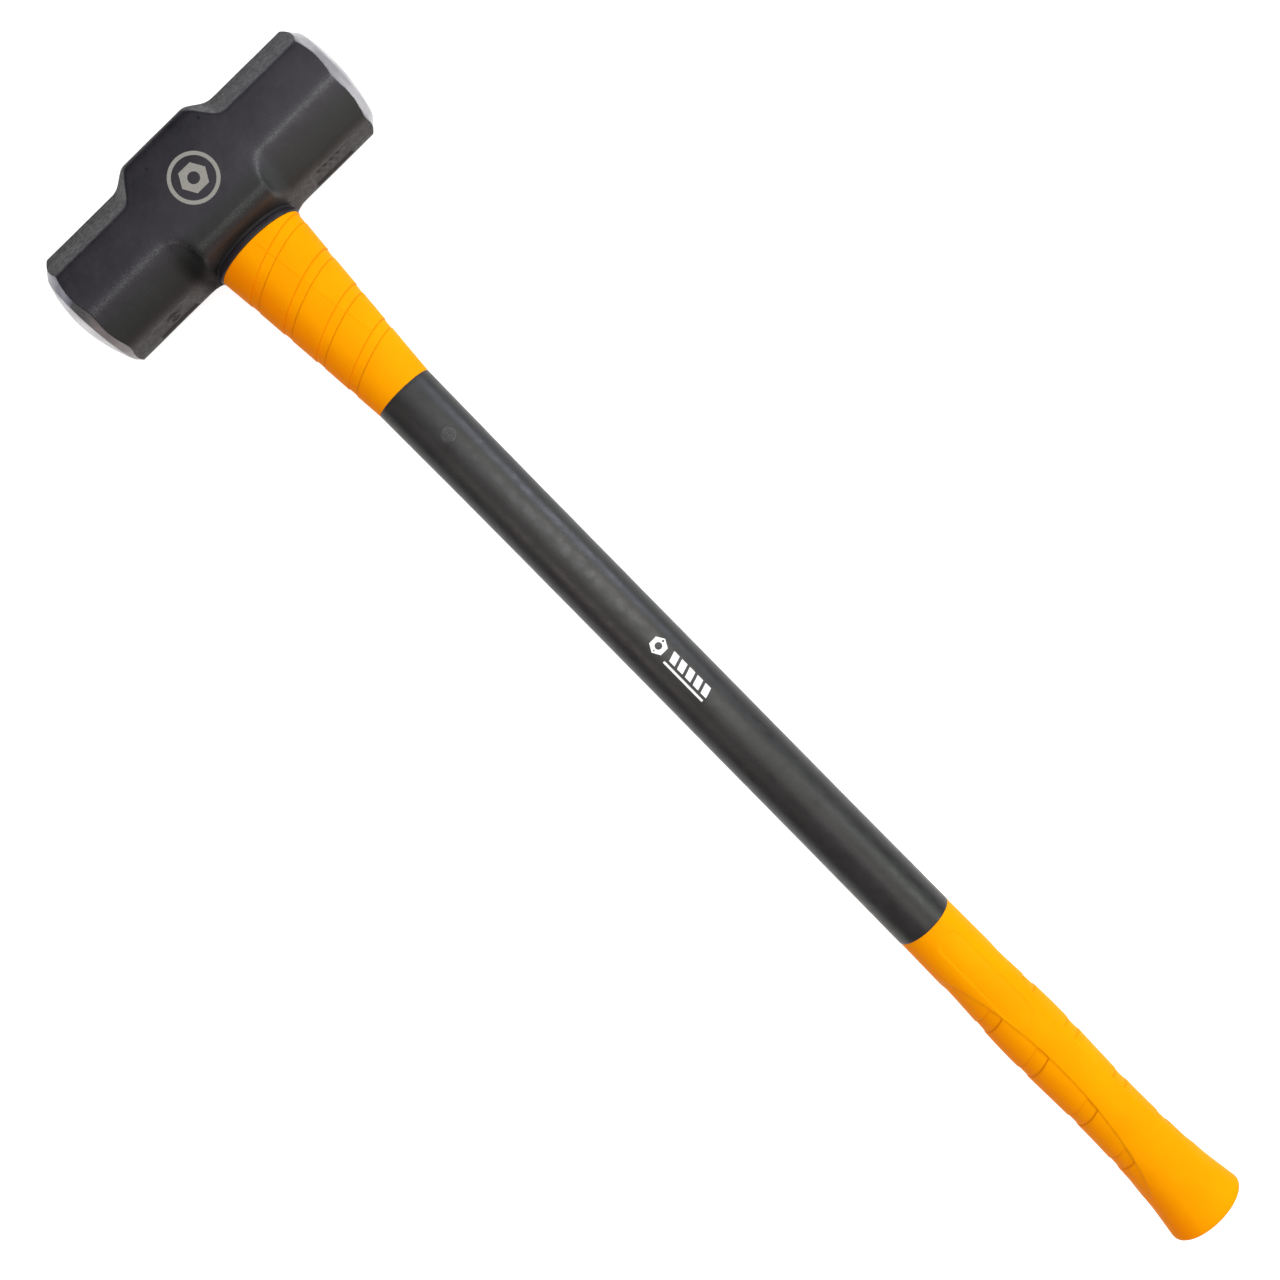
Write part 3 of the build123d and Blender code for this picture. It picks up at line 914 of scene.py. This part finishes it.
def ground_steel():
    """Bare steel turned on the bevels and faces, with painted reflections and light on the bevels, and a
    ragged edge of paint round it.
    """
    s = Surface("ground_steel", metallic=1.0)
    x, y, _ = s.axes()
    from_axis = s.vector("SUBTRACT", s.place, (0, 0, AXIS_Z)).outputs[0]
    radius = s.vector("LENGTH", s.vector("MULTIPLY", from_axis, (1, 0, 1)).outputs[0]).outputs["Value"]
    rings = {"W": radius, "Scale": 2600.0, "Detail": 2.0}
    turned = s.add("ShaderNodeTexNoise", rings, noise_dimensions="1D").outputs[0]
    clouds = s.noise(75, 4, 0.6)
    pale = s.ramp(clouds, 0.3, 0.72)
    bright = s.mix(pale, *BRIGHT_STEEL)
    wander = s.maths("ADD", x, s.ramp(s.noise(160, 3), 0.3, 0.7, -1.5 * MM, 1.5 * MM))
    # painted reflections across the bevel at -Y: lilac on the far side, dark in the middle
    colour = s.mix(s.ramp(wander, 0, 3 * MM), s.mix(pale, *LILAC_REFLECTION_STEEL), s.mix(pale, *DARK_REFLECTION_STEEL))
    # painted warm reflection on the handle's side
    colour = s.mix(s.ramp(wander, 9 * MM, 21 * MM), colour, s.mix(pale, *WARM_REFLECTION_STEEL))
    # painted light: the bevel at +Y is as bright as the faces
    colour = s.mix(s.ramp(y, -10 * MM, 10 * MM), colour, bright)
    colour = s.mix(s.ramp(turned, 0.35, 0.65, 0.0, 0.35), colour, TURNED_STEEL)
    # darker towards the bevel's outer edge
    outer_darker = s.maths("MULTIPLY", s.ramp(radius, 34.5 * MM, 37.5 * MM), s.ramp(clouds, 0.25, 0.6, 0.55, 0.9))
    colour = s.mix(outer_darker, colour, OUTER_BEVEL_STEEL)
    bevel = s.attribute("bevel")
    colour = s.mix(s.ramp(bevel, 0.96, 1.0), colour, bright)
    ragged = s.ramp(s.noise(260, 4, 0.7), 0.3, 0.7, -0.02, 0.10)
    painted = s.ramp(s.maths("SUBTRACT", bevel, ragged), 0.05, 0.0)
    colour = s.mix(painted, colour, EDGE_PAINT)
    roughness = s.ramp(s.noise(140, 3), 0.25, 0.75, 0.24, 0.38)
    normal = s.bump(turned, 0.03 * MM)
    normal = s.bump(s.noise(110, 2), 0.3 * MM, normal)
    metallic = s.maths("SUBTRACT", 1.0, painted)
    return s.finish(Base_Color=colour, Roughness=roughness, Normal=normal, Metallic=metallic)


def moulded_plastic(name, tones, rough, specular, grain=(1300, 0.05 * MM), slow=0.3 * MM, line=None):
    """Moulded plastic with a fine even grain, given by scale and depth, and slow waves of this depth.

    Line is the colour of the painted shade in its fine grooves, for the yellow mouldings, which also have
    painted shade, a deeper orange, on one side.
    """
    s = Surface(name, specular=specular)
    colour = s.mix(s.ramp(s.noise(38, 3), 0.3, 0.7), *tones)
    if line:
        _, y, _ = s.axes()
        # painted shade: the yellow mouldings turn a deeper orange on their -Y side
        colour = s.mix(s.ramp(y, -6 * MM, -22 * MM, 0.0, 0.75), colour, SHADE_ORANGE)
        # painted shade along the bands' walls, in and beside their fine grooves
        colour = s.mix(s.maths("MULTIPLY", s.attribute("groove_shade"), 0.55), colour, line)
    scale, depth = grain
    coarse = s.maths("MULTIPLY", s.noise(scale * 0.3, 2), 0.6)
    normal = s.bump(s.maths("ADD", s.noise(scale, 2, 0.6), coarse), depth)
    normal = s.bump(s.noise(55, 2), slow, normal)
    roughness = s.ramp(s.noise(180, 3), 0.3, 0.7, rough - 0.05, rough + 0.05)
    return s.finish(Base_Color=colour, Roughness=roughness, Normal=normal)


def cast_resin():
    """Dark resin set in the eye, with small bubbles at its surface."""
    s = Surface("cast_resin", specular=0.5)
    bubbles = s.cells(420).outputs["Distance"]
    normal = s.bump(s.ramp(bubbles, 0.05, 0.22), 0.06 * MM)
    normal = s.bump(s.noise(60, 2), 0.2 * MM, normal)
    roughness = s.ramp(s.noise(200), 0.3, 0.7, 0.15, 0.32)
    return s.finish(Base_Color=s.mix(s.noise(90, 3), *RESIN), Roughness=roughness, Normal=normal)


def drawn_glassfibre():
    """Glass strands drawn along the handle in clear amber resin."""
    s = Surface("drawn_glassfibre", specular=0.5)
    strands = s.noise(1.0, 3, 0.6, s.stretched(14, 2400, 2400))
    colour = s.mix(strands, *GLASSFIBRE)
    roughness = s.ramp(strands, 0.3, 0.7, 0.28, 0.42)
    return s.finish(Base_Color=colour, Roughness=roughness, Normal=s.bump(strands, 0.06 * MM))


def etched_mark():
    """Steel laid bare through the paint, with a fine tooth."""
    s = Surface("etched_mark", specular=0.3)
    grain = s.noise(1700, 2, 0.7)
    colour = s.mix(s.ramp(grain, 0.3, 0.7), *ETCHED_STEEL)
    roughness = s.ramp(grain, 0.3, 0.7, 0.42, 0.6)
    return s.finish(Base_Color=colour, Roughness=roughness, Normal=s.bump(grain, 0.08 * MM))


def printed_ink():
    """White printing ink, very slightly broken by the plastic's grain."""
    s = Surface("printed_ink", specular=0.3)
    grain = s.noise(1500, 2, 0.7)
    colour = s.mix(s.ramp(grain, 0.22, 0.34), *INK)
    roughness = s.ramp(grain, 0.3, 0.7, 0.45, 0.6)
    return s.finish(Base_Color=colour, Roughness=roughness, Normal=s.bump(grain, 0.04 * MM))


yellow = moulded_plastic("yellow_moulding", YELLOW, 0.44, 0.02, (1500, 0.03 * MM), 0.4 * MM, GROOVE_SHADE_ORANGE)
black = moulded_plastic("black_moulding", BLACK, 0.37, 0.38)
dark_ring = moulded_plastic("dark_ring", RING_BLACK, 0.40, 0.36)
rubber = moulded_plastic("soft_rubber", RUBBER, 0.62, 0.28, (900, 0.10 * MM))

make_head(painted_forging(), ground_steel())
make_handle(yellow, black, dark_ring, rubber)
make_marks(etched_mark(), printed_ink())
make_moulded_disc(moulded_plastic("burnished_black", DISC_BLACK, 0.40, 0.38))
inner_materials = {"glassfibre_core": drawn_glassfibre(), "core_jacket": black, "eye_resin": cast_resin()}
for node, material in inner_materials.items():
    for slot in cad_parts[node].material_slots:
        slot.material = material

# ---------------------------------------------------------------- camera, light and floor
CAMERA_PLACE = Vector((0.3010, 0.0059, AXIS_Z + 0.6918))
CAMERA_ROLL = math.radians(45.44)
CAMERA_LENS = 33.19
CAMERA_SHIFT = (0.0472, -0.0648)
FLOOR_HALF = 4.0
FLOOR_GREY = (0.40, 0.40, 0.40)
FLOOR_GLOW = 0.88                   # makes up for what the lights leave dim round the hammer
WORLD_GREY = (0.09, 0.09, 0.09, 1)
AIM = Vector((0.36, 0.0, 0.03))     # the middle of the handle
LIGHT_REACH = 1.7                   # from there to each light
LIGHT_SIZE = 0.6
# name, direction from the hammer in degrees round from +X and up, power, colour
LIGHTS = [
    ("overhead", 90, 90, 2.8, (1.0, 0.90, 0.80)),
    ("high", 90, 75, 7.0, (0.86, 0.97, 1.0)),
    ("upper", 90, 60, 7.2, (1.0, 0.92, 0.80)),
    ("side", 97, 28, 11.5, (0.82, 0.86, 1.0)),
    ("corner", 45, 40, 6.4, (0.90, 1.0, 0.92)),
    ("back_corner", 135, 40, 1.8, (0.70, 0.95, 1.0)),
    ("foot", 0, 60, 3.2, (1.0, 0.88, 0.88)),
    ("low_foot", 0, 25, 1.4, (1.0, 0.85, 0.80)),
    ("far_end", 180, 60, 1.1, (1.0, 0.90, 1.0)),
    ("fill", -90, 45, 3.6, (1.0, 0.86, 0.84)),
    ("high_fill", -90, 75, 1.2, (1.0, 1.0, 1.0)),
]


def add_camera():
    data = bpy.data.cameras.new("camera")
    data.sensor_width = 36.0
    data.lens = CAMERA_LENS
    data.shift_x, data.shift_y = CAMERA_SHIFT
    data.clip_start, data.clip_end = 0.01, 20.0
    camera = bpy.data.objects.new("camera", data)
    camera.location = CAMERA_PLACE
    camera.rotation_euler = (0.0, 0.0, CAMERA_ROLL)
    bpy.context.scene.collection.objects.link(camera)
    bpy.context.scene.camera = camera


def add_area_light(name, round_from_x, up, power, colour):
    """A soft light that faces the middle of the handle."""
    across, rise = math.radians(round_from_x), math.radians(up)
    way = Vector((math.cos(rise) * math.cos(across), math.cos(rise) * math.sin(across), math.sin(rise)))
    data = bpy.data.lights.new(name, "AREA")
    data.size = LIGHT_SIZE
    data.energy = power
    data.color = colour
    light = bpy.data.objects.new(name, data)
    light.location = AIM + LIGHT_REACH * way
    light.rotation_euler = (-way).to_track_quat("-Z", "Y").to_euler()
    bpy.context.scene.collection.objects.link(light)


def add_floor():
    """A plain pale floor, which glows a little so that it is even all over."""
    mesh = bpy.data.meshes.new("floor")
    corners = [(x * FLOOR_HALF, y * FLOOR_HALF, 0) for x, y in ((-1, -1), (1, -1), (1, 1), (-1, 1))]
    mesh.from_pydata(corners, [], [(0, 1, 2, 3)])
    floor = bpy.data.objects.new("floor", mesh)
    surface = Surface("floor", 0.8, specular=0.1)
    glow = {"Emission_Color": (1.0, 1.0, 1.0), "Emission_Strength": FLOOR_GLOW}
    mesh.materials.append(surface.finish(Base_Color=FLOOR_GREY, **glow))
    bpy.context.scene.collection.objects.link(floor)


add_camera()
world = bpy.data.worlds.new("studio")
bpy.context.scene.world = world
world.use_nodes = True
world.node_tree.nodes["Background"].inputs[0].default_value = WORLD_GREY
bpy.context.scene.view_settings.view_transform = "Standard"
for light in LIGHTS:
    add_area_light(*light)
add_floor()
